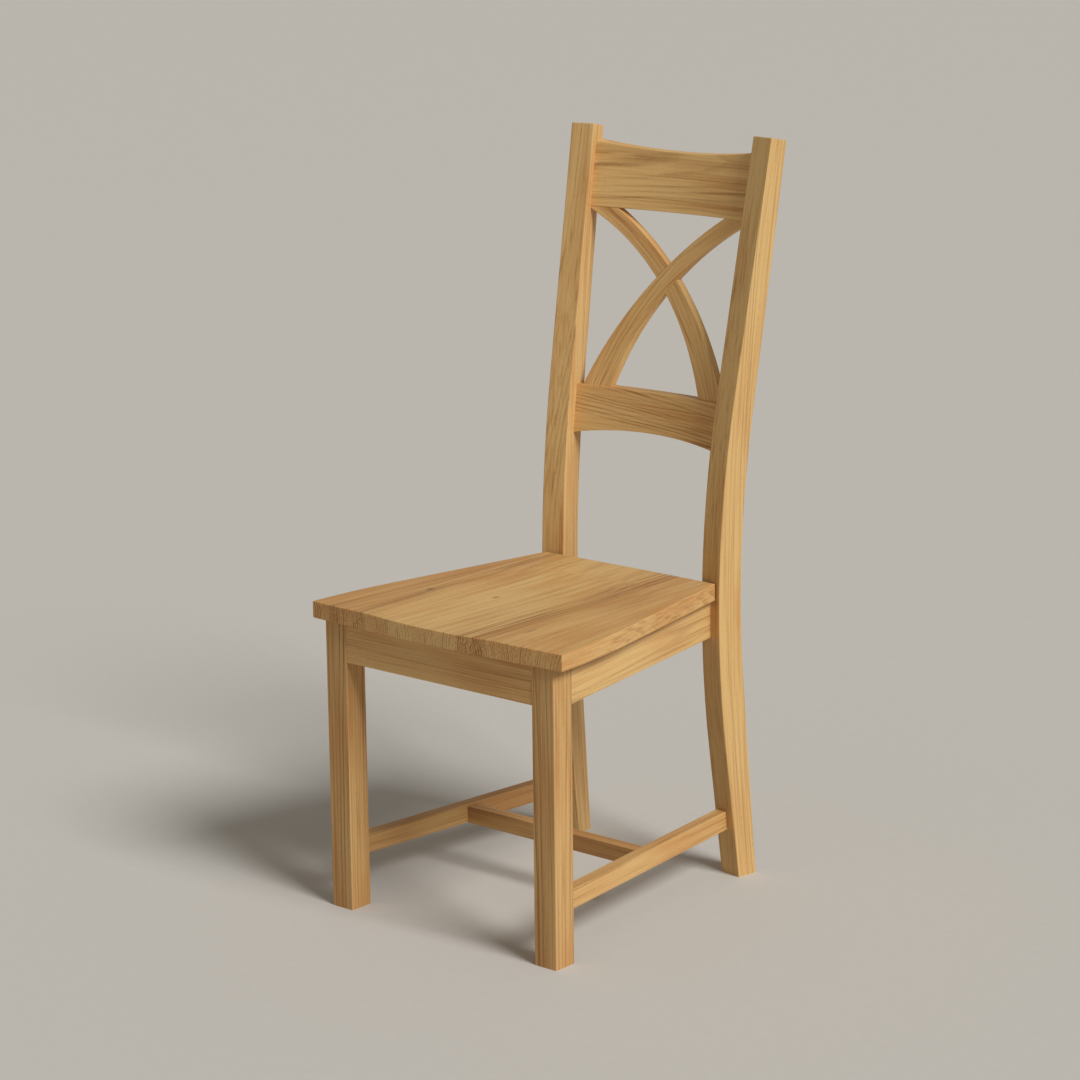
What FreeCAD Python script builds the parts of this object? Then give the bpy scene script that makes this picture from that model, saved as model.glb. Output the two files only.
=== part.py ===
import FreeCAD, Part
import math
import os

# Cross back chair in solid oak. Millimetres, +Z up, front of the chair towards -Y.
# Left and right are as seen from in front of the chair, so right is +X.
# The origin is under the middle of the chair, on the floor. While the pieces are drawn,
# y is measured from the front faces of the front legs.

# Driving dimensions of the whole chair
overall_height = 1070.0
seat_underside = 421.5

# Front legs
leg_size = 38.0
leg_spread = 417.0

# Back posts: sawn from plank, turned in plan so that they face the sitter
post_width = 37.0
post_turn = 9.3
post_arris_spread = 330.8
post_arris_back = 415.0
post_depth_at_bend = 43.0
post_front_bend_height = 407.0
post_front_bend_radius = 1590.0
post_front_rake = 7.6
post_front_recline = 10.9
post_rear_bend_height = 425.0
post_rear_bend_radius = 1540.0
post_rear_rake = 5.0
post_rear_recline = 9.4

# Seat board
seat_front_width = 456.6
seat_rear_width = 316.0
seat_front_overhang = 4.8
seat_front_bow = 9.4
seat_side_flare = 12.6
seat_side_straight = 270.0
seat_edge_thickness = 24.0
seat_crown = 2.0
seat_dish_width = 320.0
seat_dish_depth = 5.0
seat_dish_front_depth = 3.0
seat_dish_deepest_back = 250.0
seat_dish_end_back = 375.0
stave_count = 6

# Seat rails
rail_height = 57.0
rail_thickness = 18.0
front_rail_setback = 1.25
side_rail_setback = 1.0
side_rail_inset_at_post = 18.1
rear_rail_setback = 22.0

# Stretchers
stretcher_underside = 72.0
side_stretcher_height = 28.0
side_stretcher_thickness = 19.0
side_stretcher_setback = 9.5
side_stretcher_inset_at_post = 13.7
cross_stretcher_height = 25.0
cross_stretcher_thickness = 20.0
cross_stretcher_back = 235.0

# Curved back
crest_drop = 25.0
crest_height_at_ends = 94.6
crest_sag = 10.0
crest_thickness = 18.0
crest_setback = 12.5
lower_rail_top = 694.0
lower_rail_height_at_ends = 70.0
lower_rail_arch = 11.5
lower_rail_thickness = 20.0
lower_rail_setback = 18.0

# Cross slats: widths are measured level, in front view. Their tops flare until they run into
# the posts, and the overrun is how far the flare would pass a post's inner face.
slat_thickness = 12.0
slat_foot_setback = 3.0
slat_foot_gap = 7.9
slat_foot_width = 47.6
slat_middle_width = 38.3
slat_middle_offset = 30.3
slat_top_setback = 0.5
slat_top_width = 53.8
slat_top_overrun = 7.4

# Corner blocks and screws
block_reach = 60.0
block_tip = 12.0
block_height = 32.0
side_screw_station = 30.0
end_screw_station = 44.0
screw_level_offset = 8.0
seat_screw_station = 48.0
seat_screw_inset = 14.0
screw_diameter = 4.0
screw_head_diameter = 8.0
screw_head_height = 2.5
screw_tip_diameter = 1.0
screw_grip_in_block = 14.0
screw_grip_in_rail = 12.0
seat_screw_grip = 15.0
screw_head_recess = 6.0

# Joints
tenon_thickness = 8.0
tenon_length = 18.0
tenon_shoulder = 8.0
stretcher_tenon_shoulder = 5.0
cross_tenon_length = 10.0
stub_tenon_length = 8.0
stub_tenon_width = 22.0
glue_gap = 0.15
mortise_end_gap = 1.0
screw_clearance = 0.3
head_clearance = 0.5

# Edges
post_round = 1.5
leg_round = 1.2
rail_round = 1.0
seat_round = 1.6
slat_round = 1.2

# How far a tenon starts inside its own rail, and how far a cutting tool reaches past a face
tenon_root = 4.0
tool_margin = 30.0

Z_AXIS = FreeCAD.Vector(0, 0, 1)
CENTRE = FreeCAD.Vector(0, 0, 0)
FULL_TURN = 360.0

seat_top_corner = seat_underside + seat_edge_thickness
rail_underside = seat_underside - rail_height
crest_underside = overall_height - crest_drop - crest_height_at_ends
rail_end = leg_spread / 2 - leg_size
turn = math.radians(post_turn)
post_inward = FreeCAD.Vector(-math.cos(turn), math.sin(turn), 0)
post_backward = FreeCAD.Vector(math.sin(turn), math.cos(turn), 0)
post_arris = FreeCAD.Vector(post_arris_spread / 2, post_arris_back, 0)

# The posts' inner faces meet in one upright axis in front of the chair, and the curved rails
# and slats of the back are rings about it.
inner_arris = post_arris + post_inward * post_width
back_radius = inner_arris.x / math.sin(turn)
back_axis = FreeCAD.Vector(0, inner_arris.y - back_radius * math.cos(turn), 0)


def vector(x, y, z=0.0):
    return FreeCAD.Vector(x, y, z)


def polygon_face(points):
    return Part.Face(Part.makePolygon(points + points[:1]))


def plan_prism(points, bottom, top):
    """A prism that stands on the plan outline, given as (x, y) vectors."""
    outline = [vector(p.x, p.y, bottom) for p in points]
    return polygon_face(outline).extrude(vector(0, 0, top - bottom))


def mirrored(shape):
    return shape.mirror(CENTRE, vector(1, 0, 0))


def on_both_sides(shapes):
    """The right-hand shapes and their mirror images."""
    return shapes + [mirrored(shape) for shape in shapes]


def both_sides(shape):
    return Part.makeCompound(on_both_sides([shape]))


def cylinder(start, direction, length, diameter):
    return Part.makeCylinder(diameter / 2, length, start, direction)


def main_piece(shape):
    """The piece itself, without the offcuts that trimming leaves."""
    return max(shape.Solids, key=lambda solid: solid.Volume)


def upright_edges(shape):
    return [e for e in shape.Edges if abs(e.BoundBox.ZLength - shape.BoundBox.ZLength) < glue_gap]


def rounded_bar(bar, radius):
    """Rounds the level edges that run along a straight bar."""
    longest = max(e.Length for e in bar.Edges)
    edges = [e for e in bar.Edges if e.Length > longest / 2]
    return bar.makeFillet(radius, edges)


def bent_edge(height, rake, recline, radius, bend_height, offset):
    """Where a post's long edge lies at a height: straight, one arc, straight."""
    low = bend_height - radius * math.sin(math.radians(rake))
    high = bend_height + radius * math.sin(math.radians(recline))
    arc_height = min(max(height, low), high) - bend_height
    along = offset + radius - math.sqrt(radius ** 2 - arc_height ** 2)
    if height < low:
        along += (low - height) * math.tan(math.radians(rake))
    if height > high:
        along += (height - high) * math.tan(math.radians(recline))
    return along


def post_front(height):
    return bent_edge(height, post_front_rake, post_front_recline, post_front_bend_radius,
                     post_front_bend_height, 0.0)


def post_rear(height):
    return bent_edge(height, post_rear_rake, post_rear_recline, post_rear_bend_radius,
                     post_rear_bend_height, post_depth_at_bend)


def post_point(along, across, height):
    """A point of the right-hand post: along its depth, across its width, and up."""
    return post_arris + post_backward * along + post_inward * across + Z_AXIS * height


def post_prism(profile, across_from, across_to):
    """A prism square to the post's side, from (along, height) points."""
    outline = [post_point(along, across_from, height) for along, height in profile]
    return polygon_face(outline).extrude(post_inward * (across_to - across_from))


def rounded_post(post):
    """Rounds the long edges of the post and the rim of its top."""
    top = overall_height - post_width
    edges = [e for e in post.Edges if e.BoundBox.ZLength > post_width or e.BoundBox.ZMin > top]
    return post.makeFillet(post_round, edges)


def bend_limits(rake, recline, radius, bend_height):
    low = bend_height - radius * math.sin(math.radians(rake))
    high = bend_height + radius * math.sin(math.radians(recline))
    return low, high


def edge_pieces(edge, low, bend, high, bottom_point, top_point):
    """Line, arc and line along one long edge of the post, from its foot to its top."""
    points = [post_point(edge(z), 0.0, z) for z in (low, bend, high)]
    return [
        Part.LineSegment(bottom_point, points[0]).toShape(),
        Part.Arc(*points).toShape(),
        Part.LineSegment(points[2], top_point).toShape(),
    ]


def post_blank():
    """The right-hand post before its mortises, with sharp edges."""
    front_low, front_high = bend_limits(post_front_rake, post_front_recline,
                                        post_front_bend_radius, post_front_bend_height)
    rear_low, rear_high = bend_limits(post_rear_rake, post_rear_recline,
                                      post_rear_bend_radius, post_rear_bend_height)
    top_front = post_front(overall_height)
    # The top is cut square to the front edge: it runs back and down until it meets the rear edge.
    cut_fall = math.tan(math.radians(post_front_recline))
    rear_slope = math.tan(math.radians(post_rear_recline))
    level_depth = post_rear(overall_height) - top_front
    drop = level_depth * cut_fall / (1.0 + rear_slope * cut_fall)
    top_rear = post_rear(overall_height - drop)
    corners = [
        post_point(post_front(0.0), 0.0, 0.0),
        post_point(top_front, 0.0, overall_height),
        post_point(top_rear, 0.0, overall_height - drop),
        post_point(post_rear(0.0), 0.0, 0.0),
    ]
    edges = edge_pieces(post_front, front_low, post_front_bend_height, front_high,
                        corners[0], corners[1])
    edges.append(Part.LineSegment(corners[1], corners[2]).toShape())
    edges += edge_pieces(post_rear, rear_low, post_rear_bend_height, rear_high,
                         corners[3], corners[2])
    edges.append(Part.LineSegment(corners[3], corners[0]).toShape())
    outline = Part.Wire(Part.__sortEdges__(edges))
    return Part.Face(outline).extrude(post_inward * post_width)


def leg_blank():
    """The right-hand front leg before its mortises, with sharp edges."""
    corner = vector(leg_spread / 2 - leg_size, 0.0, 0.0)
    return Part.makeBox(leg_size, leg_size, seat_underside, corner)


class LeanLine:
    """A side rail's or side stretcher's outer face in plan, from the front leg to the post."""

    def __init__(self, start, rear_point, thickness):
        self.start = start
        self.direction = vector(rear_point.x - start.x, rear_point.y - start.y).normalize()
        self.inward = vector(-self.direction.y, self.direction.x)
        self.length = (rear_point - start).Length
        self.thickness = thickness

    def bar(self, bottom, height):
        """A bar along the line that runs on into the leg and the post, to be trimmed by them."""
        lead = self.direction * (leg_size / 2)
        front = self.start - lead
        rear = self.start + self.direction * self.length + lead
        across = self.inward * self.thickness
        return plan_prism([front, rear, rear + across, front + across], bottom, bottom + height)

    def inner_face_at(self, point, direction):
        """Where a plan line crosses the bar's inner face."""
        return line_crossing(self.start + self.inward * self.thickness, self.direction,
                             point, direction)


def line_crossing(point_a, direction_a, point_b, direction_b):
    """Where two plan lines cross."""
    across = direction_a.x * direction_b.y - direction_a.y * direction_b.x
    gap = point_b - point_a
    distance = (gap.x * direction_b.y - gap.y * direction_b.x) / across
    return point_a + direction_a * distance


def box_between(low, high):
    size = high - low
    return Part.makeBox(size.x, size.y, size.z, low)


def level_tenon_pair(face_x, middle_y, length, bottom, top):
    """A tenon that points to +X from face_x, and its mortise: larger by the glue gap, and deeper."""
    half = tenon_thickness / 2
    tenon = box_between(vector(face_x - tenon_root, middle_y - half, bottom),
                        vector(face_x + length, middle_y + half, top))
    wide = half + glue_gap
    mortise = box_between(vector(face_x - tenon_root, middle_y - wide, bottom - glue_gap),
                          vector(face_x + length + mortise_end_gap, middle_y + wide, top + glue_gap))
    return tenon, mortise


def leg_tenon_pair(middle_x, bottom, top):
    """A tenon that enters the rear face of the front leg, and its mortise."""
    half = tenon_thickness / 2
    tenon = box_between(vector(middle_x - half, leg_size - tenon_length, bottom),
                        vector(middle_x + half, leg_size + tenon_root, top))
    wide = half + glue_gap
    mortise = box_between(vector(middle_x - wide, leg_size - tenon_length - mortise_end_gap,
                                 bottom - glue_gap),
                          vector(middle_x + wide, leg_size + tenon_root, top + glue_gap))
    return tenon, mortise


def front_face_profile(length, bottom, top):
    """Side view of a tenon that enters the front face of the post."""
    return [(post_front(bottom) - tenon_root, bottom), (post_front(bottom) + length, bottom),
            (post_front(top) + length, top), (post_front(top) - tenon_root, top)]


def front_face_tenon_pair(middle_across, bottom, top):
    """A tenon that enters the front face of the post squarely, and its mortise."""
    half = tenon_thickness / 2
    wide = half + glue_gap
    profile = front_face_profile(tenon_length, bottom, top)
    deep_profile = front_face_profile(tenon_length + mortise_end_gap, bottom - glue_gap, top + glue_gap)
    tenon = post_prism(profile, middle_across - half, middle_across + half)
    return tenon, post_prism(deep_profile, middle_across - wide, middle_across + wide)


def inner_face_profile(middle, half, bottom, top):
    """Section of a tenon that enters the inner face of the post, following its middle line."""
    return [(middle(bottom) - half, bottom), (middle(bottom) + half, bottom),
            (middle(top) + half, top), (middle(top) - half, top)]


def inner_face_tenon_pair(middle, bottom, top):
    """A tenon that enters the inner face of the post squarely, and its mortise."""
    half = tenon_thickness / 2
    root = post_width + tenon_root
    end = post_width - tenon_length
    profile = inner_face_profile(middle, half, bottom, top)
    wide_profile = inner_face_profile(middle, half + glue_gap, bottom - glue_gap, top + glue_gap)
    return post_prism(profile, end, root), post_prism(wide_profile, end - mortise_end_gap, root)


def ring_piece(profile, half_angle):
    """A solid of revolution about the back's axis, from (radius, height) points."""
    start = vector(math.sin(-half_angle), math.cos(-half_angle))
    outline = [back_axis + start * radius + Z_AXIS * height for radius, height in profile]
    sweep = -2 * math.degrees(half_angle)
    return polygon_face(outline).revolve(back_axis, Z_AXIS, sweep)


def ring_profile(inner_radius, thickness, bottom, top):
    """A leaning section: front face through the two radii, rear face parallel to it."""
    low_radius, high_radius = inner_radius(bottom), inner_radius(top)
    return [(low_radius, bottom), (low_radius + thickness, bottom),
            (high_radius + thickness, top), (high_radius, top)]


def crest_front(height):
    return back_radius + post_front(height) + crest_setback


def lower_rail_front(height):
    return back_radius + post_front(height) + lower_rail_setback


def arch_cutter(radius, centre_height):
    """A long cylinder lying front to back, for the sag of the crest and the arch below."""
    return cylinder(vector(0, 0, centre_height), vector(0, 1, 0), overall_height, 2 * radius)


def arc_radius(half_chord, rise):
    return (half_chord ** 2 + rise ** 2) / (2 * rise)


def crest_rail():
    """The crest with its tenons, and its mortise in the right post."""
    top = crest_underside + crest_height_at_ends
    blank = ring_piece(ring_profile(crest_front, crest_thickness, crest_underside, top), turn)
    radius = arc_radius(crest_front(top) * math.sin(turn), crest_sag)
    body = round_long_edges(blank.cut(arch_cutter(radius, top - crest_sag + radius)), rail_round)
    tenon, mortise = inner_face_tenon_pair(
        lambda height: crest_front(height) - back_radius + crest_thickness / 2,
        crest_underside + tenon_shoulder, top - crest_sag - tenon_shoulder)
    return body.fuse([tenon, mirrored(tenon)]).removeSplitter(), mortise


def lower_back_rail():
    """The lower rail of the back with its tenons, and its mortise in the right post."""
    bottom = lower_rail_top - lower_rail_height_at_ends
    blank = ring_piece(ring_profile(lower_rail_front, lower_rail_thickness, bottom, lower_rail_top), turn)
    radius = arc_radius(lower_rail_front(bottom) * math.sin(turn), lower_rail_arch)
    arch_top = bottom + lower_rail_arch
    body = round_long_edges(blank.cut(arch_cutter(radius, arch_top - radius)), rail_round)
    tenon, mortise = inner_face_tenon_pair(
        lambda height: lower_rail_front(height) - back_radius + lower_rail_thickness / 2,
        arch_top + tenon_shoulder, lower_rail_top - tenon_shoulder)
    return body.fuse([tenon, mirrored(tenon)]).removeSplitter(), mortise


def round_long_edges(body, radius):
    """Rounds the edges that run from end to end of a curved rail."""
    span = body.BoundBox.XLength
    edges = [e for e in body.Edges if e.BoundBox.XLength > span / 2]
    return body.makeFillet(radius, edges)


def slat_front(height):
    """Radius of the slats' front face: just behind the faces of the two rails it joins."""
    low = lower_rail_front(lower_rail_top) + slat_foot_setback
    high = crest_front(crest_underside) + slat_top_setback
    share = (height - lower_rail_top) / (crest_underside - lower_rail_top)
    return low + (high - low) * share


def slat_ends():
    """Outer corners of the foot and the top of the slat that rises to the right."""
    foot_outer = slat_foot_gap - lower_rail_front(lower_rail_top) * math.sin(turn)
    top_outer = crest_front(crest_underside) * math.sin(turn) + slat_top_overrun
    return foot_outer, top_outer


def slat_outline(gap):
    """Front-view outline of the slat that rises to the right, from rail to rail."""
    middle_height = (lower_rail_top + crest_underside) / 2
    foot_outer, top_outer = slat_ends()
    heights = [lower_rail_top, middle_height, crest_underside]
    upper = [foot_outer, -slat_middle_offset - slat_middle_width / 2, top_outer - slat_top_width]
    lower = [foot_outer + slat_foot_width, -slat_middle_offset + slat_middle_width / 2, top_outer]
    left = [vector(x - gap, 0, z) for x, z in zip(upper, heights)]
    right = [vector(x + gap, 0, z) for x, z in zip(lower, heights)]
    edges = [
        Part.Arc(*left).toShape(),
        Part.LineSegment(left[2], right[2]).toShape(),
        Part.Arc(*right).toShape(),
        Part.LineSegment(right[0], left[0]).toShape(),
    ]
    return Part.Face(Part.Wire(Part.__sortEdges__(edges)))


def slat_blank(gap, front_offset, rear_offset):
    """The outline, wider by a gap each side, cut from the leaning ring between the rails."""
    profile = ring_profile(lambda height: slat_front(height) + front_offset,
                           rear_offset - front_offset, lower_rail_top, crest_underside)
    prism = slat_outline(gap).extrude(vector(0, overall_height, 0))
    return prism.common(ring_piece(profile, turn))


def stub_tenon(centre_x, radius, bottom, top, grow):
    """An upright stub on a slat's end, lying along the ring."""
    angle = math.asin(centre_x / radius)
    outward = vector(math.sin(angle), math.cos(angle))
    sideways = vector(math.cos(angle), -math.sin(angle))
    middle = back_axis + outward * (radius + slat_thickness / 2)
    half_width = stub_tenon_width / 2 + grow
    half_depth = tenon_thickness / 2 + grow
    points = [
        middle - sideways * half_width - outward * half_depth,
        middle + sideways * half_width - outward * half_depth,
        middle + sideways * half_width + outward * half_depth,
        middle - sideways * half_width + outward * half_depth,
    ]
    return plan_prism(points, bottom, top)


def slat_stubs(grow, end_gap):
    """Both stub tenons of the slat that rises to the right, or their mortises."""
    foot_outer, top_outer = slat_ends()
    foot_x = foot_outer + slat_foot_width / 2
    top_x = top_outer - slat_top_width / 2
    foot = stub_tenon(foot_x, slat_front(lower_rail_top),
                      lower_rail_top - stub_tenon_length - end_gap, lower_rail_top, grow)
    top = stub_tenon(top_x, slat_front(crest_underside), crest_underside,
                     crest_underside + stub_tenon_length + end_gap, grow)
    return [foot, top]


def cross_slats():
    """The two slats, halved into each other where they cross, and their mortises."""
    half = slat_thickness / 2
    blank = slat_blank(0.0, 0.0, slat_thickness)
    half_rise = (crest_underside - lower_rail_top) / 2
    long_edges = [e for e in blank.Edges if e.BoundBox.ZLength > half_rise]
    blank = blank.makeFillet(slat_round, long_edges)
    whole = blank.fuse(slat_stubs(0.0, 0.0)).removeSplitter()
    rear_notch = mirrored(slat_blank(glue_gap, half - glue_gap, slat_thickness + tool_margin))
    front_notch = slat_blank(glue_gap, -tool_margin, half + glue_gap)
    front_slat = whole.cut(rear_notch)
    rear_slat = mirrored(whole).cut(front_notch)
    return front_slat, rear_slat, on_both_sides(slat_stubs(glue_gap, mortise_end_gap))


def seat_outline_points():
    """Corner and joining points of the right half of the seat, in plan."""
    corner = vector(seat_front_width / 2, -seat_front_overhang)
    rear = vector(seat_rear_width / 2, post_arris_back)
    # The straight part of the side aims past the front corner, and an arc turns in to reach it.
    along = (corner + vector(seat_side_flare, 0) - rear).normalize()
    tangent = rear + along * seat_side_straight
    chord = corner - tangent
    half_turn = along.getAngle(chord)
    outward = vector(-chord.y, chord.x).normalize()
    middle = tangent + chord * 0.5 + outward * (chord.Length / 2 * math.tan(half_turn / 2))
    return rear, tangent, middle, corner


def seat_plan():
    rear, tangent, middle, corner = seat_outline_points()
    flip = lambda p: vector(-p.x, p.y)
    nose = vector(0, -seat_front_overhang - seat_front_bow)
    edges = [
        Part.LineSegment(flip(rear), rear).toShape(),
        Part.LineSegment(rear, tangent).toShape(),
        Part.Arc(tangent, middle, corner).toShape(),
        Part.Arc(corner, nose, flip(corner)).toShape(),
        Part.Arc(flip(corner), flip(middle), flip(tangent)).toShape(),
        Part.LineSegment(flip(tangent), flip(rear)).toShape(),
    ]
    return Part.Face(Part.Wire(Part.__sortEdges__(edges)))


def at_seat_corner(edge):
    """Tells an upright edge at a corner from the seam where the side turns from straight to arc."""
    y = edge.BoundBox.Center.y
    return abs(y + seat_front_overhang) < seat_round or abs(y - post_arris_back) < seat_round


def on_outline(edge, plan):
    """Tells an edge on the seat's outer faces from the edges of its dish."""
    middle = edge.valueAt((edge.FirstParameter + edge.LastParameter) / 2)
    foot = Part.Vertex(middle.x, middle.y, plan.BoundBox.ZMin)
    return plan.OuterWire.distToShape(foot)[0] < glue_gap


def dish_cutter(top):
    """What the dish takes away: a shallow trough, open in front, that rises to its rear end."""
    radius = arc_radius(seat_dish_width / 2, seat_dish_depth)
    bottom = top - seat_dish_depth
    axis_height = bottom + radius
    front = -seat_front_overhang - seat_front_bow - tool_margin
    slope = (seat_dish_depth - seat_dish_front_depth) / seat_dish_deepest_back
    # The rise at the back is an arc that starts level: here is its point half way along.
    rise_radius = arc_radius(seat_dish_end_back - seat_dish_deepest_back, seat_dish_depth)
    half = (seat_dish_end_back - seat_dish_deepest_back) / 2
    half_rise = rise_radius - math.sqrt(rise_radius ** 2 - half ** 2)
    front_point = vector(0, front, bottom + slope * (seat_dish_deepest_back - front))
    deepest = vector(0, seat_dish_deepest_back, bottom)
    rising = vector(0, seat_dish_deepest_back + half, bottom + half_rise)
    end = vector(0, seat_dish_end_back, top)
    axis_end = vector(0, seat_dish_end_back, axis_height)
    axis_start = vector(0, front, axis_height)
    edges = [
        Part.LineSegment(front_point, deepest).toShape(),
        Part.Arc(deepest, rising, end).toShape(),
        Part.LineSegment(end, axis_end).toShape(),
        Part.LineSegment(axis_end, axis_start).toShape(),
        Part.LineSegment(axis_start, front_point).toShape(),
    ]
    profile = Part.Face(Part.Wire(edges))
    return profile.revolve(vector(0, 0, axis_height), vector(0, 1, 0), FULL_TURN)


def seat_board():
    """The whole seat: crowned across its width, shallowly dished, edges rounded."""
    plan = seat_plan()
    plan.translate(vector(0, 0, seat_underside))
    prism = plan.extrude(vector(0, 0, seat_edge_thickness + seat_crown))
    crown_radius = arc_radius(seat_front_width / 2, seat_crown)
    crown_top = seat_top_corner + seat_crown
    crown_start = vector(0, -overall_height, crown_top - crown_radius)
    crown = cylinder(crown_start, vector(0, 1, 0), 2 * overall_height, 2 * crown_radius)
    board = prism.common(crown).cut(dish_cutter(crown_top))
    outer = [e for e in board.Edges if on_outline(e, plan)]
    rims = [e for e in outer if e.BoundBox.ZLength < seat_edge_thickness / 2]
    corners = [e for e in outer if e not in rims and at_seat_corner(e)]
    return board.makeFillet(seat_round, rims + corners)


def seat_staves(screw_holes):
    """The seat board split into its glued staves."""
    board = seat_board().cut(screw_holes)
    width = seat_front_width / stave_count
    staves = []
    for number in range(stave_count):
        left = -seat_front_width / 2 + number * width
        slab = Part.makeBox(width, overall_height, seat_edge_thickness + tool_margin,
                            vector(left, -tool_margin, seat_underside))
        staves.append(board.common(slab))
    return staves


def screw(start, direction, length):
    """A countersunk wood screw: its head's face is at start."""
    head = Part.makeCone(screw_head_diameter / 2, screw_diameter / 2, screw_head_height,
                         start, direction)
    tip_length = screw_diameter
    shank = cylinder(start, direction, length - tip_length, screw_diameter)
    tip_start = start + direction * (length - tip_length)
    tip = Part.makeCone(screw_diameter / 2, screw_tip_diameter / 2, tip_length, tip_start, direction)
    return head.fuse([shank, tip]).removeSplitter()


def screw_hole(start, direction, length, recess):
    """The bore for one screw, with its countersink and the recess above the head."""
    wide = screw_head_diameter + 2 * head_clearance
    bore_diameter = screw_diameter + 2 * screw_clearance
    bore = cylinder(start, direction, length + screw_clearance, bore_diameter)
    sink = Part.makeCone(wide / 2, bore_diameter / 2, screw_head_height + screw_clearance,
                         start, direction)
    pocket = cylinder(start - direction * recess, direction, recess, wide)
    return bore.fuse([sink, pocket])


def corner_block(corner, along_side, along_end, into_side, into_end, neighbours):
    """A block in the corner of two rails, with two rail screws, one seat screw and their bores.

    along_side and along_end run from the corner down each rail; into_side and into_end point
    squarely into the wood of each.
    """
    bottom = seat_underside - block_height
    middle = bottom + block_height / 2
    side_tip = corner + along_side * block_reach
    end_tip = corner + along_end * block_reach
    outline = [corner, side_tip, side_tip - into_side * block_tip,
               end_tip - into_end * block_tip, end_tip]
    block = plan_prism(outline, bottom, seat_underside).cut(neighbours)
    length = screw_grip_in_block + screw_grip_in_rail
    side_start = corner + along_side * side_screw_station - into_side * screw_grip_in_block
    end_start = corner + along_end * end_screw_station - into_end * screw_grip_in_block
    placings = [
        (side_start + Z_AXIS * (middle + screw_level_offset), into_side),
        (end_start + Z_AXIS * (middle - screw_level_offset), into_end),
    ]
    seat_point = corner + along_side * seat_screw_station - into_side * seat_screw_inset
    seat_start = seat_point + Z_AXIS * (bottom + screw_head_recess)
    seat_length = block_height - screw_head_recess + seat_screw_grip
    rail_bores = [screw_hole(start, direction, length, block_reach) for start, direction in placings]
    seat_bore = screw_hole(seat_start, Z_AXIS, seat_length, block_height)
    return {
        "block": main_piece(block.cut(rail_bores + [seat_bore])),
        "rail_screws": [screw(start, direction, length) for start, direction in placings],
        "rail_bores": rail_bores,
        "seat_screw": screw(seat_start, Z_AXIS, seat_length),
        "seat_bore": seat_bore,
    }


# Outer faces of the side rails and side stretchers, and the front face of the rear rail
side_rail_line = LeanLine(vector(leg_spread / 2 - side_rail_setback, leg_size),
                          post_point(0.0, side_rail_inset_at_post, 0.0), rail_thickness)
stretcher_middle = stretcher_underside + side_stretcher_height / 2
stretcher_line = LeanLine(vector(leg_spread / 2 - side_stretcher_setback, leg_size),
                          post_point(post_front(stretcher_middle), side_stretcher_inset_at_post, 0.0),
                          side_stretcher_thickness)
rear_rail_face = inner_arris.y + rear_rail_setback


def side_rail(leg, post):
    """Right side rail with its bores still to come, and its mortises in the leg and the post."""
    bottom = rail_underside + tenon_shoulder
    top = seat_underside - tenon_shoulder
    bar = side_rail_line.bar(rail_underside, rail_height)
    rail = main_piece(rounded_bar(bar, rail_round).cut([leg, post]))
    front_tenon, leg_mortise = leg_tenon_pair(side_rail_line.start.x - rail_thickness / 2, bottom, top)
    across = side_rail_inset_at_post + rail_thickness / 2
    rear_tenon, post_mortise = front_face_tenon_pair(across, bottom, top)
    return rail.fuse([front_tenon, rear_tenon]).removeSplitter(), leg_mortise, post_mortise


def front_rail():
    """Rail between the front legs, and its mortise in the right leg."""
    low = vector(-rail_end, front_rail_setback, rail_underside)
    high = vector(rail_end, front_rail_setback + rail_thickness, seat_underside)
    middle = front_rail_setback + rail_thickness / 2
    tenon, mortise = level_tenon_pair(rail_end, middle, tenon_length,
                                      rail_underside + tenon_shoulder, seat_underside - tenon_shoulder)
    rail = rounded_bar(box_between(low, high), rail_round)
    return rail.fuse([tenon, mirrored(tenon)]).removeSplitter(), mortise


def rear_rail(post):
    """Rail between the posts, behind the side rails' tenons, and its mortise in the right post."""
    low = vector(-post_arris.x, rear_rail_face, rail_underside)
    high = vector(post_arris.x, rear_rail_face + rail_thickness, seat_underside)
    rail = main_piece(rounded_bar(box_between(low, high), rail_round).cut(both_sides(post)))
    middle = (rear_rail_setback + rail_thickness / 2) / math.cos(turn)
    tenon, mortise = inner_face_tenon_pair(lambda height: middle, rail_underside + tenon_shoulder,
                                           seat_underside - tenon_shoulder)
    return rail.fuse([tenon, mirrored(tenon)]).removeSplitter(), mortise


def side_stretcher(leg, post):
    """Right side stretcher, and its mortises in the leg and the post."""
    bottom = stretcher_underside + stretcher_tenon_shoulder
    top = stretcher_underside + side_stretcher_height - stretcher_tenon_shoulder
    bar = stretcher_line.bar(stretcher_underside, side_stretcher_height)
    stretcher = main_piece(rounded_bar(bar, rail_round).cut([leg, post]))
    middle_x = stretcher_line.start.x - side_stretcher_thickness / 2
    front_tenon, leg_mortise = leg_tenon_pair(middle_x, bottom, top)
    across = side_stretcher_inset_at_post + side_stretcher_thickness / 2
    rear_tenon, post_mortise = front_face_tenon_pair(across, bottom, top)
    return stretcher.fuse([front_tenon, rear_tenon]).removeSplitter(), leg_mortise, post_mortise


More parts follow.
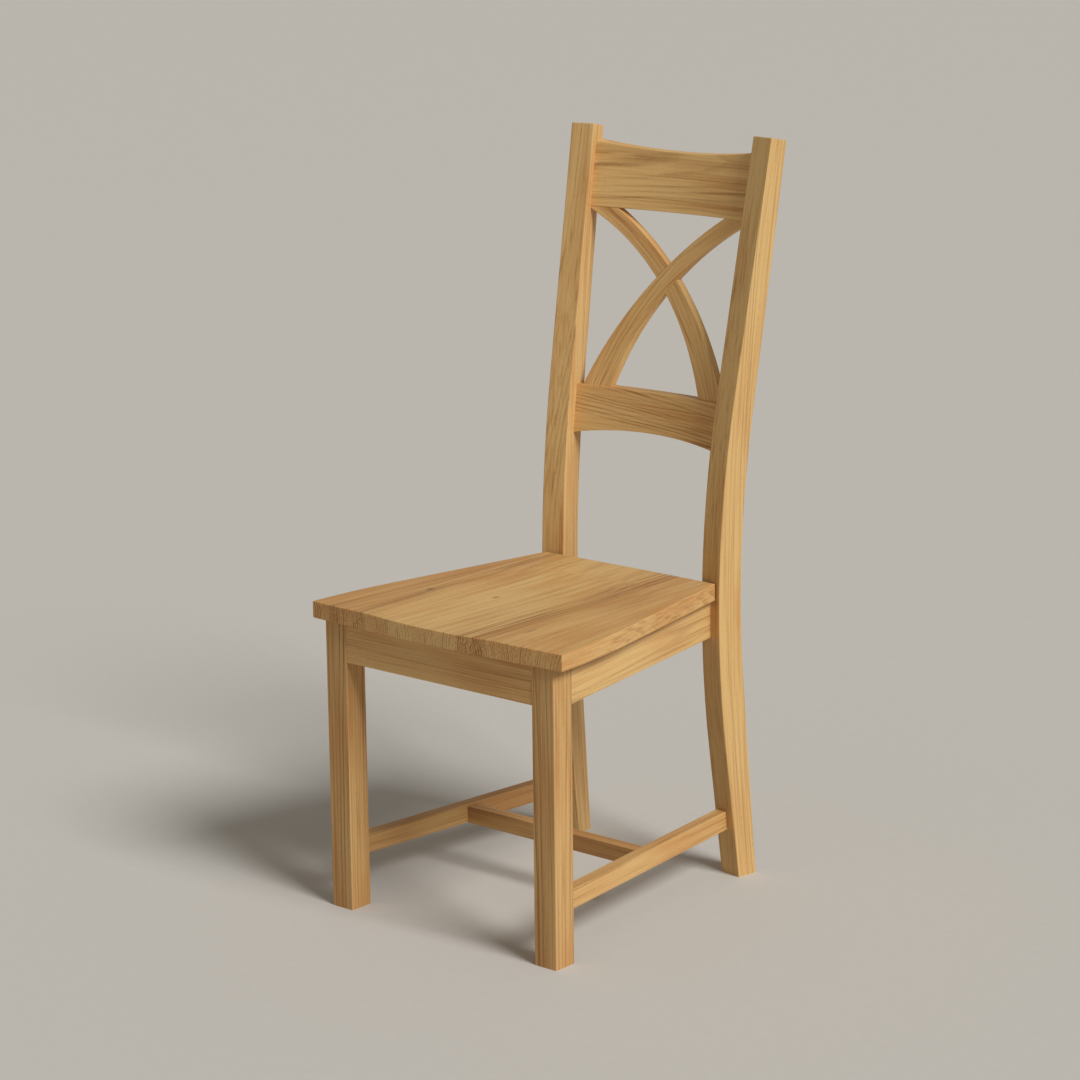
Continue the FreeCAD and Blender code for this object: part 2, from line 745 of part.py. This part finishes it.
def cross_stretcher():
    """Stretcher between the side stretchers, and its mortise in the right one."""
    top = stretcher_underside + cross_stretcher_height
    low = vector(-stretcher_line.start.x, cross_stretcher_back, stretcher_underside)
    high = vector(stretcher_line.start.x, cross_stretcher_back + cross_stretcher_thickness, top)
    side_bar = stretcher_line.bar(stretcher_underside, side_stretcher_height)
    bar = rounded_bar(box_between(low, high), rail_round)
    stretcher = main_piece(bar.cut(both_sides(side_bar)))
    middle = cross_stretcher_back + cross_stretcher_thickness / 2
    end_x = stretcher_line.inner_face_at(vector(0, middle), vector(1, 0)).x
    tenon, mortise = level_tenon_pair(end_x, middle, cross_tenon_length,
                                      stretcher_underside + stretcher_tenon_shoulder,
                                      top - stretcher_tenon_shoulder)
    return stretcher.fuse([tenon, mirrored(tenon)]).removeSplitter(), mortise


def corner_blocks(neighbours):
    """Both right-hand corner blocks with their screws and bores, front and rear."""
    front_face = vector(0, front_rail_setback + rail_thickness)
    front_corner = side_rail_line.inner_face_at(front_face, vector(1, 0))
    rear_corner = side_rail_line.inner_face_at(vector(0, rear_rail_face), vector(1, 0))
    back = side_rail_line.direction
    outward = -side_rail_line.inward
    return {
        "front": corner_block(front_corner, back, vector(-1, 0), outward, vector(0, -1), neighbours),
        "rear": corner_block(rear_corner, -back, vector(-1, 0), outward, vector(0, 1), neighbours),
    }


def under_frame():
    """Legs, posts, rails, stretchers, blocks and screws, and the screws' bores in the seat."""
    leg = leg_blank()
    post = post_blank()
    side, side_leg_mortise, side_post_mortise = side_rail(leg, post)
    front, front_mortise = front_rail()
    rear, rear_mortise = rear_rail(post)
    stretcher, stretcher_leg_mortise, stretcher_post_mortise = side_stretcher(leg, post)
    cross, cross_mortise = cross_stretcher()
    crest, crest_mortise = crest_rail()
    lower, lower_mortise = lower_back_rail()
    front_slat, rear_slat, slat_mortises = cross_slats()
    leg_tools = [side_leg_mortise, front_mortise, stretcher_leg_mortise]
    post_tools = [side_post_mortise, rear_mortise, stretcher_post_mortise, crest_mortise, lower_mortise]
    blocks = corner_blocks([leg, post, side, front, rear])
    rail_bores = []
    seat_bores = []
    rail_screws = []
    seat_screws = []
    for block in blocks.values():
        rail_bores += on_both_sides(block["rail_bores"])
        seat_bores += on_both_sides([block["seat_bore"]])
        rail_screws += on_both_sides(block["rail_screws"])
        seat_screws += on_both_sides([block["seat_screw"]])
    right_hand = {
        "front_leg": leg.makeFillet(leg_round, upright_edges(leg)).cut(leg_tools),
        "back_post": rounded_post(post).cut(post_tools),
        "side_rail": side.cut(rail_bores),
        "side_stretcher": stretcher.cut(cross_mortise),
        "corner_block_front": blocks["front"]["block"],
        "corner_block_rear": blocks["rear"]["block"],
    }
    single = {
        "front_rail": front.cut(rail_bores),
        "rear_rail": rear.cut(rail_bores),
        "cross_stretcher": cross,
        "crest_rail": crest.cut(slat_mortises),
        "lower_back_rail": lower.cut(slat_mortises),
        "cross_slat_front": front_slat,
        "cross_slat_rear": rear_slat,
        "corner_block_screws": Part.makeCompound(rail_screws),
        "seat_screws": Part.makeCompound(seat_screws),
    }
    return right_hand, single, seat_bores


def build():
    """Every node of the chair, by name."""
    right_hand, parts, seat_bores = under_frame()
    for name, shape in right_hand.items():
        parts[name + "_right"] = shape
        parts[name + "_left"] = mirrored(shape)
    for number, stave in enumerate(seat_staves(seat_bores), start=1):
        parts["seat_stave_" + str(number)] = stave
    return parts


def write_parts(parts):
    """Moves the origin under the middle of the chair and writes one file per node."""
    box = Part.makeCompound(list(parts.values())).optimalBoundingBox(False, False)
    shift = vector(-(box.XMin + box.XMax) / 2, -(box.YMin + box.YMax) / 2, -box.ZMin)
    os.makedirs("parts", exist_ok=True)
    for name, shape in sorted(parts.items()):
        if not shape.isValid():
            raise ValueError(name + " is not a valid solid")
        shape.translated(shift).exportStep("parts/" + name + ".step")
        print(name, len(shape.Solids), "solid(s)", round(shape.Volume / 1000.0, 1), "cm3")
    print("size", round(box.XLength, 1), round(box.YLength, 1), round(box.ZLength, 1))
    print("shift", round(shift.x, 3), round(shift.y, 3), round(shift.z, 3))


write_parts(build())
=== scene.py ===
# %% [markdown]
# # Cross back chair in honey oak
# This is a dining chair of solid oak: two square front legs, two bent back posts, a shallowly
# dished seat of glued staves, and a curved back with two crossing slats between two rails.
# Places and sizes below are in metres, and the wood recipe counts in millimetres. +Z is up, the
# front of the chair faces -Y, and +X is the right side as seen from in front. The frame already
# holds each part at its true size, so this file is about surfaces: what each board was cut from,
# how it was finished, and how it is lit.

# %% Load the frame
import bpy
import math
from mathutils import Matrix, Vector


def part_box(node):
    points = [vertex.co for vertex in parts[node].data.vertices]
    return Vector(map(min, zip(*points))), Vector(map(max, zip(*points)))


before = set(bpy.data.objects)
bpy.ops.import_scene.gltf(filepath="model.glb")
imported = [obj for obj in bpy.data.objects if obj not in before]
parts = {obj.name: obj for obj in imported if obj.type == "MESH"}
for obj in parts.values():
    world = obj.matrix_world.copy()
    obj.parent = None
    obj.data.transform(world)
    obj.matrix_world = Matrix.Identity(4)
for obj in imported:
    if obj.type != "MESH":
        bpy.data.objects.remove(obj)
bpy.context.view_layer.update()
print("parts in the frame:", len(parts))

# %% [markdown]
# ## Small tools for node materials
# A material is a tree of nodes. Wired by hand in the editor it takes hundreds of clicks, and as
# raw code it takes hundreds of lines. A small class that adds a node and links its inputs in one
# call keeps the wood recipe readable, so it reads almost like a formula.

# %% A class that writes node trees
class Tree:
    """Adds nodes to one node tree. An input may be a number, a colour or another node's socket."""

    def __init__(self, tree):
        self.tree = tree

    def add(self, kind, inputs=None, **settings):
        node = self.tree.nodes.new(kind)
        for name, value in settings.items():
            setattr(node, name, value)
        for key, value in (inputs or {}).items():
            if isinstance(value, bpy.types.NodeSocket):
                self.tree.links.new(value, node.inputs[key])
            else:
                node.inputs[key].default_value = value
        return node

    def math(self, operation, *values):
        node = self.add("ShaderNodeMath", dict(enumerate(values)), operation=operation)
        return node.outputs[0]

    def remap(self, value, low, high, to_low=0.0, to_high=1.0):
        """Slides a value from the range low..high to the range to_low..to_high, with soft ends."""
        inputs = {"Value": value, "From Min": low, "From Max": high,
                  "To Min": to_low, "To Max": to_high}
        node = self.add("ShaderNodeMapRange", inputs, interpolation_type="SMOOTHSTEP")
        return node.outputs["Result"]

    def stretch(self, point, along, across, shift):
        """Squeezes space so that a noise blob becomes along long and across wide."""
        squeeze = (1 / along, 1 / across, 1 / across)
        scaled = self.add("ShaderNodeVectorMath", {0: point, 1: squeeze}, operation="MULTIPLY")
        moved = self.add("ShaderNodeVectorMath", {0: scaled.outputs[0], 1: shift}, operation="ADD")
        return moved.outputs[0]

    def noise(self, point, detail=2.0):
        inputs = {"Vector": point, "Scale": 1.0, "Detail": detail, "Roughness": 0.5}
        return self.add("ShaderNodeTexNoise", inputs).outputs["Fac"]

    def blend(self, share, colour_a, colour_b):
        """Mixes two colours. A Mix node takes them as its inputs 6 and 7."""
        node = self.add("ShaderNodeMix", {0: share, 6: colour_a, 7: colour_b}, data_type="RGBA")
        return node.outputs[2]


print("node writer ready")

# %% [markdown]
# ## Oak, from the inside out
# Oak is ring-porous. Each spring it lays down a band of large open pores, then dense smooth
# summer wood. A board is a slice through those rings, so the same recipe has to give straight
# lines on one face, arched "cathedral" figure on the next, and streaks on the end. A flat picture
# of wood cannot do that. A solid texture can: it works out the wood at a point in space, and the
# surface only shows where it cuts through.
#
# The recipe: take the distance from the heart of the tree, bend it a little with slow noise,
# divide it by the width of a ring, and keep the fraction. Where the fraction is small there is
# spring wood, which is darker and full of pores. Rings that are all alike look printed, so each
# year gets its own strength, the lines fade in and out along the board, and streaks of fibre in
# three widths lie over them.

# %% Colours of the wood
def srgb(red, green, blue):
    """A colour from its 0 to 255 screen values, as the linear values that shaders use."""
    def linear(value):
        share = value / 255
        return share / 12.92 if share <= 0.04045 else ((share + 0.055) / 1.055) ** 2.4
    return (linear(red), linear(green), linear(blue), 1.0)


honey = srgb(216, 178, 117)
amber = srgb(197, 145, 87)
spring_wood = srgb(138, 92, 46)
pore_brown = srgb(92, 58, 28)
print("honey in linear light:", [round(c, 3) for c in honey[:3]])

# %% The recipe as a node group
# How far small bends push a ring, in millimetres, and how far uneven seasons shift it, in years.
ripple_size = 2.4
season_shift = 3.0


def group_input(group, name, value, kind="NodeSocketFloat"):
    """Gives the group one more input, with the value it has when a board doesn't set it."""
    socket = group.interface.new_socket(name, in_out="INPUT", socket_type=kind)
    socket.default_value = value


def product(tree, first, *others):
    """Multiplies any number of values."""
    for value in others:
        first = tree.math("MULTIPLY", first, value)
    return first


def make_oak_group():
    """Node group: a point in a board's own millimetres in; colour, roughness and height out.

    Distance from the heart = sqrt(across^2 + depth^2) + lean * along + slow bends. Divided by the
    ring width, its fraction says where in the year the point grew. A bent board is straightened
    first: side = across + bow * (along - bow from)^2.
    """
    group = bpy.data.node_groups.new("solid_oak", "ShaderNodeTree")
    group_input(group, "Point", (0, 0, 0), "NodeSocketVector")
    values = {"Heart across": 0.0, "Heart depth": -60.0, "Lean": 0.01, "Ring width": 3.0,
              "Bend": 6.0, "Bow": 0.0, "Bow from": 0.0, "Line strength": 0.6, "Band": 1000.0,
              "Band width": 10.0, "Warmth": 0.4, "Lightness": 1.0, "End": 0.0}
    for name, value in values.items():
        group_input(group, name, value)
    for name, kind in (("Color", "NodeSocketColor"), ("Roughness", "NodeSocketFloat"),
                       ("Height", "NodeSocketFloat")):
        group.interface.new_socket(name, in_out="OUTPUT", socket_type=kind)
    tree = Tree(group)
    given = tree.add("NodeGroupInput").outputs
    axes = tree.add("ShaderNodeSeparateXYZ", {0: given["Point"]}).outputs
    from_bend = tree.math("SUBTRACT", axes[0], given["Bow from"])
    side = tree.math("ADD", axes[1], product(tree, from_bend, from_bend, given["Bow"]))
    point = tree.add("ShaderNodeCombineXYZ", {0: axes[0], 1: side, 2: axes[2]}).outputs[0]

    slow = tree.noise(tree.stretch(point, 300, 55, (3, 5, 7)), 2)
    small = tree.noise(tree.stretch(point, 210, 12, (11, 2, 5)), 1)
    bend = tree.math("MULTIPLY", tree.math("SUBTRACT", slow, 0.5), given["Bend"])
    ripple = tree.math("MULTIPLY", tree.math("SUBTRACT", small, 0.5), ripple_size)
    across = tree.math("SUBTRACT", side, given["Heart across"])
    depth = tree.math("SUBTRACT", axes[2], given["Heart depth"])
    squares = tree.math("ADD", product(tree, across, across), product(tree, depth, depth))
    radius = tree.math("ADD", tree.math("SQRT", squares), product(tree, axes[0], given["Lean"]))
    radius = tree.math("ADD", radius, tree.math("ADD", bend, ripple))
    years = tree.math("DIVIDE", radius, given["Ring width"])
    by_radius = tree.add("ShaderNodeCombineXYZ", {0: product(tree, years, 0.23)}).outputs[0]
    years = tree.math("ADD", years, product(tree, tree.noise(by_radius, 2), season_shift))

    season = tree.math("FRACT", years)
    spring = product(tree, tree.remap(season, 0.0, 0.12), tree.remap(season, 0.13, 0.55, 1.0, 0.0))
    year = tree.math("FLOOR", years)
    by_year = tree.add("ShaderNodeCombineXYZ", {0: product(tree, year, 0.73)}).outputs[0]
    strong = tree.remap(tree.noise(by_year, 0), 0.34, 0.7, 0.1, 1.0)
    come_and_go = tree.remap(tree.noise(tree.stretch(point, 240, 16, (8, 3, 2)), 1), 0.36, 0.6,
                             0.35, 1.0)
    line = product(tree, spring, strong, come_and_go)
    from_band = tree.math("ABSOLUTE", tree.math("SUBTRACT", side, given["Band"]))
    band = tree.remap(tree.math("DIVIDE", from_band, given["Band width"]), 0.6, 1.3, 1.0, 0.0)

    fibre = tree.noise(tree.stretch(point, 90, 0.8, (1, 9, 4)), 3)
    streak = tree.noise(tree.stretch(point, 260, 3.2, (4, 4, 9)), 3)
    patch = tree.noise(tree.stretch(point, 200, 30, (2, 6, 1)), 2)
    pores = tree.remap(tree.noise(tree.stretch(point, 9, 0.42, (6, 1, 8)), 1), 0.57, 0.68)
    pores = tree.math("MULTIPLY", pores, tree.math("ADD", product(tree, line, 0.8), 0.2))
    warm = tree.math("ADD", tree.remap(patch, 0.38, 0.7, -0.1, 0.4), given["Warmth"])
    warm = tree.math("ADD", warm, tree.remap(streak, 0.3, 0.7, -0.26, 0.26))
    warm = tree.math("ADD", warm, tree.remap(fibre, 0.3, 0.7, -0.14, 0.14))
    warm = tree.math("ADD", warm, product(tree, band, 0.2))

    colour = tree.blend(warm, honey, amber)
    colour = tree.blend(tree.remap(streak, 0.52, 0.78, 0.0, 0.45), colour, spring_wood)
    thread = tree.remap(tree.noise(tree.stretch(point, 420, 1.9, (5, 3, 1)), 2), 0.47, 0.6)
    colour = tree.blend(product(tree, thread, band, 0.6), colour, spring_wood)
    colour = tree.blend(product(tree, given["End"], 0.08), colour, spring_wood)
    strength = tree.math("ADD", tree.math("ADD", given["Line strength"], band), given["End"])
    colour = tree.blend(product(tree, line, strength), colour, spring_wood)
    colour = tree.blend(product(tree, pores, 0.6), colour, pore_brown)
    # This input scales a board's whole colour. It is partly the board's own tone and partly painted
    # light and shade, set per board to stand in for how the lamp falls on it.
    bright = tree.add("ShaderNodeHueSaturation", {"Value": given["Lightness"], "Color": colour})

    rubbed = tree.noise(tree.stretch(point, 46, 30, (7, 7, 3)), 4)
    scuff = tree.remap(rubbed, 0.52, 0.66, 0.0, 0.09)
    rough = tree.math("ADD", tree.remap(fibre, 0.25, 0.75, 0.42, 0.54), scuff)
    rough = tree.math("ADD", rough, product(tree, pores, 0.2))
    height = tree.math("ADD", product(tree, pores, -1.0), product(tree, line, -0.25))
    height = tree.math("ADD", height, product(tree, fibre, 0.35))
    tree.add("NodeGroupOutput", {"Color": bright.outputs[0], "Roughness": rough, "Height": height})
    return group


oak_group = make_oak_group()
print("oak recipe:", len(oak_group.nodes), "nodes")

# %% [markdown]
# ## Cutting each board from its own log
# Real parts never match: each has its own place in the log. So every part gets its own material
# that says where its middle is, which way its grain runs, and how far from that middle the heart
# of the tree was, sideways and in depth. A Mapping node set to Texture moves and turns space into
# that board's own axes, in millimetres.

# %% One board, one material
def board_turn(grain, face):
    """Turns the world to a board's axes: first along the grain, third out of its best face."""
    along = Vector(grain).normalized()
    out = Vector(face)
    out = (out - along * out.dot(along)).normalized()
    across = out.cross(along)
    return Matrix((along, across, out)).transposed().to_euler()


millimetre = 0.001
relief_strength, relief_depth = 0.5, 0.0003
ring_centre_back, ring_radius, ring_front = 0.6357, 0.7975, 0.0287
bend_end_height, recline = 0.7077, 0.1926


def unrolled(tree, place):
    """The curved back laid flat: arc length, depth behind the posts' leaning front, height."""
    axes = tree.add("ShaderNodeSeparateXYZ", {0: place}).outputs
    back = tree.math("ADD", axes[1], ring_centre_back)
    squares = tree.math("ADD", product(tree, axes[0], axes[0]), product(tree, back, back))
    radius = tree.math("SQRT", squares)
    arc = product(tree, tree.math("ARCTAN2", axes[0], back), ring_radius)
    lean = product(tree, tree.math("SUBTRACT", axes[2], bend_end_height), recline)
    depth = tree.math("SUBTRACT", tree.math("SUBTRACT", radius, ring_radius + ring_front), lean)
    return tree.add("ShaderNodeCombineXYZ", {0: arc, 1: depth, 2: axes[2]}).outputs[0]


def knot(tree, place, colour, spot):
    """Darkens an oval round a small knot or stain of the seat, softly towards its rim."""
    x, y, half_width, half_length, strength = spot
    squeeze = (1 / half_width, 1 / half_length, 0)
    offset = tree.add("ShaderNodeVectorMath", {0: place, 1: (x, y, 0)}, operation="SUBTRACT")
    oval = tree.add("ShaderNodeVectorMath", {0: offset.outputs[0], 1: squeeze},
                    operation="MULTIPLY")
    length = tree.add("ShaderNodeVectorMath", {0: oval.outputs[0]}, operation="LENGTH")
    share = tree.remap(length.outputs["Value"], 0.2, 1.0, strength, 0.0)
    return tree.blend(share, colour, pore_brown)


def oak(name, middle, grain, face, curved=False, knots=(), **wood):
    """A material for one board; wood holds values for the recipe's inputs."""
    material = bpy.data.materials.new(name)
    material.use_nodes = True
    material.node_tree.nodes.clear()
    tree = Tree(material.node_tree)
    place = tree.add("ShaderNodeTexCoord").outputs["Object"]
    laid_out = unrolled(tree, place) if curved else place
    mapping = tree.add("ShaderNodeMapping", {"Vector": laid_out, "Location": middle,
                                             "Rotation": board_turn(grain, face),
                                             "Scale": (millimetre, millimetre, millimetre)},
                       vector_type="TEXTURE")
    recipe = tree.add("ShaderNodeGroup", node_tree=oak_group)
    material.node_tree.links.new(mapping.outputs[0], recipe.inputs["Point"])
    if not curved:
        normal = tree.add("ShaderNodeNewGeometry").outputs["True Normal"]
        facing = tree.add("ShaderNodeVectorMath", {0: normal, 1: Vector(grain).normalized()},
                          operation="DOT_PRODUCT").outputs["Value"]
        end = tree.remap(tree.math("ABSOLUTE", facing), 0.6, 0.9)
        material.node_tree.links.new(end, recipe.inputs["End"])
    for key, value in wood.items():
        recipe.inputs[key.replace("_", " ").capitalize()].default_value = value
    colour = recipe.outputs["Color"]
    for spot in knots:
        colour = knot(tree, place, colour, spot)
    relief = tree.add("ShaderNodeBump", {"Height": recipe.outputs["Height"],
                                         "Strength": relief_strength, "Distance": relief_depth})
    shader = tree.add("ShaderNodeBsdfPrincipled", {"Base Color": colour,
                                                   "Roughness": recipe.outputs["Roughness"],
                                                   "Specular IOR Level": 0.3,
                                                   "Normal": relief.outputs[0]})
    tree.add("ShaderNodeOutputMaterial", {"Surface": shader.outputs[0]})
    return material


def finish_part(name, material):
    """Puts one material on a part of the frame, in place of what it came with."""
    mesh = parts[name].data
    mesh.materials.clear()
    mesh.materials.append(material)


print("boards are cut with oak(...)")

# %% [markdown]
# ## Which way each part's grain runs
# Grain always runs the long way of a part, because wood splits along it. The face that is named
# is mostly the show side, and depth is counted towards it. Legs and posts have their heart off to a
# corner, which puts straight lines on both faces. The staves have it far to one side, so the
# rings stand upright at the seat's front edge, where the sawn ends show them darkest. The posts
# and the slats are bent, and the recipe's bow keeps their grain running along them.

# %% The parts and their logs
right, front, up = Vector((1, 0, 0)), Vector((0, -1, 0)), Vector((0, 0, 1))


def middle_of(name):
    low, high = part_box(name)
    return (low + high) / 2


right_post_side, left_post_side = (0.987, -0.162, 0), (-0.987, -0.162, 0)
rail_right, rail_left = Vector((-0.156, 0.988, 0)), Vector((0.156, 0.988, 0))
stretcher_right, stretcher_left = Vector((-0.104, 0.995, 0)), Vector((0.104, 0.995, 0))
stave_right, stave_left = Vector((-0.08, 0.997, 0)), Vector((0.08, 0.997, 0))
front_slat_rise, rear_slat_rise = Vector((0.223, 0, 0.256)), Vector((-0.223, 0, 0.256))
post_bow, post_bow_from, slat_bow = 0.000145, -115, 0.00103
# The board brightness values are partly each board's own tone and partly painted light and shade.
# They are raised on the back rails and slats as painted light, because their faces turn from the
# lamp. They are lowered on the front legs, the right back post and the low stretchers under the
# seat as painted shade.
boards = {
    "front_leg_right": (up, front, dict(
        heart_across=48, heart_depth=-52, ring_width=4.4, line_strength=0.9, warmth=0.5,
        lightness=0.92)),
    "front_leg_left": (up, front, dict(
        heart_across=-50, heart_depth=-44, ring_width=4.2, line_strength=0.8, warmth=0.55,
        lightness=0.90)),
    "back_post_right": (up, right_post_side, dict(
        heart_across=64, heart_depth=-60, ring_width=3.8, line_strength=0.5, warmth=0.1,
        lightness=0.96, bow=post_bow, bow_from=post_bow_from)),
    "back_post_left": (up, left_post_side, dict(
        heart_across=70, heart_depth=50, ring_width=3.8, line_strength=0.5, warmth=0.2,
        bow=-post_bow, bow_from=post_bow_from)),
    "front_rail": (right, front, dict(
        heart_across=66, heart_depth=-36, ring_width=3.2, warmth=0.5)),
    "rear_rail": (right, front, dict(heart_across=-40, heart_depth=-40)),
    "side_rail_right": (rail_right, right, dict(
        heart_across=4, heart_depth=-44, ring_width=5.6, bend=22, line_strength=0.5,
        warmth=0.15)),
    "side_rail_left": (rail_left, right, dict(heart_across=30, heart_depth=-46, ring_width=4.0)),
    "side_stretcher_right": (stretcher_right, right, dict(
        heart_across=34, heart_depth=-40, ring_width=2.8)),
    "side_stretcher_left": (stretcher_left, right, dict(
        heart_across=30, heart_depth=-46, warmth=0.6, lightness=0.80)),
    "cross_stretcher": (right, front, dict(
        heart_across=8, heart_depth=-24, ring_width=3.8, warmth=0.7, line_strength=0.8,
        lightness=0.85)),
    "corner_block_front_right": (right, up, dict(heart_depth=-40)),
    "corner_block_front_left": (right, up, dict(heart_depth=-50)),
    "corner_block_rear_right": (right, up, dict(heart_depth=-44)),
    "corner_block_rear_left": (right, up, dict(heart_depth=-56)),
    "seat_stave_1": (stave_left, up, dict(
        heart_across=90, heart_depth=-8, ring_width=4.4, warmth=0.75, band=-25, band_width=9)),
    "seat_stave_2": (-front, up, dict(
        heart_across=110, heart_depth=-14, ring_width=4.2, warmth=0.45, band=21,
        line_strength=0.5, knots=[(-0.1399, -0.1275, 0.007, 0.012, 0.55)])),
    "seat_stave_3": (-front, up, dict(
        heart_across=130, heart_depth=-20, ring_width=4.6, warmth=0.15, line_strength=0.3,
        knots=[(-0.0439, -0.0955, 0.006, 0.010, 0.5)])),
    "seat_stave_4": (-front, up, dict(
        heart_across=-120, heart_depth=-14, ring_width=4.4, warmth=0.2, line_strength=0.5,
        band=-26, band_width=13)),
    "seat_stave_5": (-front, up, dict(
        heart_across=100, heart_depth=-20, ring_width=4.2, warmth=0.55, band=27, band_width=13,
        line_strength=0.55, knots=[(0.1212, -0.2121, 0.005, 0.022, 0.35)])),
    "seat_stave_6": (stave_right, up, dict(
        heart_across=-90, heart_depth=-24, ring_width=4.6, warmth=0.6, line_strength=0.35,
        knots=[(0.1199, 0.0972, 0.004, 0.014, 0.4), (0.1191, 0.0462, 0.004, 0.012, 0.3)])),
}
curved_boards = {
    "crest_rail": (right, dict(
        heart_across=26, heart_depth=-64, ring_width=4.8, bend=18, lean=0.03,
        line_strength=0.85, warmth=0.2, lightness=1.13)),
    "lower_back_rail": (right, dict(
        heart_across=62, heart_depth=-34, ring_width=4.6, lean=-0.09, line_strength=1.0,
        warmth=0.3, lightness=1.08)),
    "cross_slat_front": (front_slat_rise, dict(
        heart_across=44, heart_depth=-40, ring_width=2.6, bow=slat_bow, warmth=0.3,
        lightness=1.12)),
    "cross_slat_rear": (rear_slat_rise, dict(
        heart_across=-44, heart_depth=-40, ring_width=2.8, bow=-slat_bow, warmth=0.3,
        lightness=1.1)),
}
for name, (grain, face, wood) in boards.items():
    finish_part(name, oak("oak_" + name, middle_of(name), grain, face, **wood))
curved_middle_depth = 0.02
for name, (grain, wood) in curved_boards.items():
    middle = Vector((0, curved_middle_depth, middle_of(name).z))
    finish_part(name, oak("oak_" + name, middle, grain, front, curved=True, **wood))
print("boards finished:", len(boards) + len(curved_boards))

# %% [markdown]
# ## Steel screws
# The corner blocks are held by plain wood screws. Nobody sees them unless the chair is turned
# over, but zinc-plated steel still needs its faint clouding, or it looks like grey plastic.

# %% Zinc-plated steel
def plated_steel():
    material = bpy.data.materials.new("zinc_plated_steel")
    material.use_nodes = True
    material.node_tree.nodes.clear()
    tree = Tree(material.node_tree)
    place = tree.add("ShaderNodeTexCoord").outputs["Object"]
    cloud = tree.noise(tree.stretch(place, 0.004, 0.004, (0, 0, 0)), 4)
    colour = tree.blend(cloud, srgb(176, 178, 180), srgb(128, 131, 136))
    rough = tree.remap(cloud, 0.3, 0.7, 0.28, 0.42)
    relief = tree.add("ShaderNodeBump", {"Height": cloud, "Strength": 0.2, "Distance": 0.0001})
    shader = tree.add("ShaderNodeBsdfPrincipled", {"Base Color": colour, "Roughness": rough,
                                                   "Metallic": 1.0, "Normal": relief.outputs[0]})
    tree.add("ShaderNodeOutputMaterial", {"Surface": shader.outputs[0]})
    return material


steel = plated_steel()
for name in ("corner_block_screws", "seat_screws"):
    finish_part(name, steel)
print("screws finished")

# %% [markdown]
# ## Floor, light and camera
# A pale floor and soft light show wood best. One broad lamp from the right side, like a tall
# window, makes the side faces bright and lets the front faces fall into half shade, and an even
# sky fills the rest. Their levels add up to about one on a face that looks at the lamp, so a
# colour renders about as it is written.

# %% The floor
floor_half_size, floor_cloud_size, floor_roughness = 40.0, 0.02, 0.85
floor_colours = srgb(198, 194, 187), srgb(202, 198, 191)


def make_floor(half_size):
    """A plain square of floor at height zero, far wider than the chair."""
    mesh = bpy.data.meshes.new("floor")
    corners = [(-half_size, -half_size, 0), (half_size, -half_size, 0),
               (half_size, half_size, 0), (-half_size, half_size, 0)]
    mesh.from_pydata(corners, [], [(0, 1, 2, 3)])
    floor = bpy.data.objects.new("floor", mesh)
    bpy.context.scene.collection.objects.link(floor)
    material = bpy.data.materials.new("pale_floor")
    material.use_nodes = True
    tree = Tree(material.node_tree)
    place = tree.add("ShaderNodeTexCoord").outputs["Object"]
    cloud = tree.noise(tree.stretch(place, floor_cloud_size, floor_cloud_size, (0, 0, 0)), 2)
    shader = material.node_tree.nodes["Principled BSDF"]
    colour = tree.blend(cloud, *floor_colours)
    material.node_tree.links.new(colour, shader.inputs["Base Color"])
    shader.inputs["Roughness"].default_value = floor_roughness
    mesh.materials.append(material)


make_floor(floor_half_size)
print("floor laid")

# %% The light
lamp_direction, lamp_strength, lamp_spread = (0.75, -0.105, 0.653), 0.90, 22
sky_colour, sky_strength = srgb(255, 250, 240), 0.27


def add_lamp(name, direction, strength, spread):
    """A lamp that shines from a direction; a wide spread makes its shadows soft."""
    data = bpy.data.lights.new(name, "SUN")
    data.energy = strength * math.pi
    data.angle = math.radians(spread)
    lamp = bpy.data.objects.new(name, data)
    lamp.rotation_euler = Vector(direction).to_track_quat("Z", "Y").to_euler()
    bpy.context.scene.collection.objects.link(lamp)


world = bpy.data.worlds.new("soft_sky")
bpy.context.scene.world = world
world.use_nodes = True
sky = world.node_tree.nodes["Background"]
sky.inputs["Color"].default_value = sky_colour
sky.inputs["Strength"].default_value = sky_strength
add_lamp("window_light", lamp_direction, lamp_strength, lamp_spread)
print("lights set")

# %% The camera
camera_place = Vector((2.8544, -3.3679, 1.5708))
camera_azimuth, camera_elevation = math.radians(40.71), math.radians(13.45)
camera_roll = math.radians(-0.67)
focal_pixels, picture_pixels, sensor = 3219.0, 1080.0, 36.0


def camera_axes(azimuth, elevation, roll):
    """Right, up and back of a camera that looks at the chair from an azimuth and an elevation."""
    back = Vector((math.sin(azimuth) * math.cos(elevation),
                   -math.cos(azimuth) * math.cos(elevation), math.sin(elevation)))
    level = up.cross(back).normalized()
    upright = back.cross(level)
    turned_right = level * math.cos(roll) + upright * math.sin(roll)
    turned_up = upright * math.cos(roll) - level * math.sin(roll)
    return turned_right, turned_up, back


lens = bpy.data.cameras.new("camera")
lens.sensor_width = sensor
lens.lens = focal_pixels * sensor / picture_pixels
lens.clip_end = 200.0
camera = bpy.data.objects.new("camera", lens)
axes = camera_axes(camera_azimuth, camera_elevation, camera_roll)
camera.matrix_world = Matrix.Translation(camera_place) @ Matrix(axes).transposed().to_4x4()
bpy.context.scene.collection.objects.link(camera)
bpy.context.scene.camera = camera
bpy.context.scene.view_settings.view_transform = "Standard"
print("camera lens:", round(lens.lens, 1), "mm")
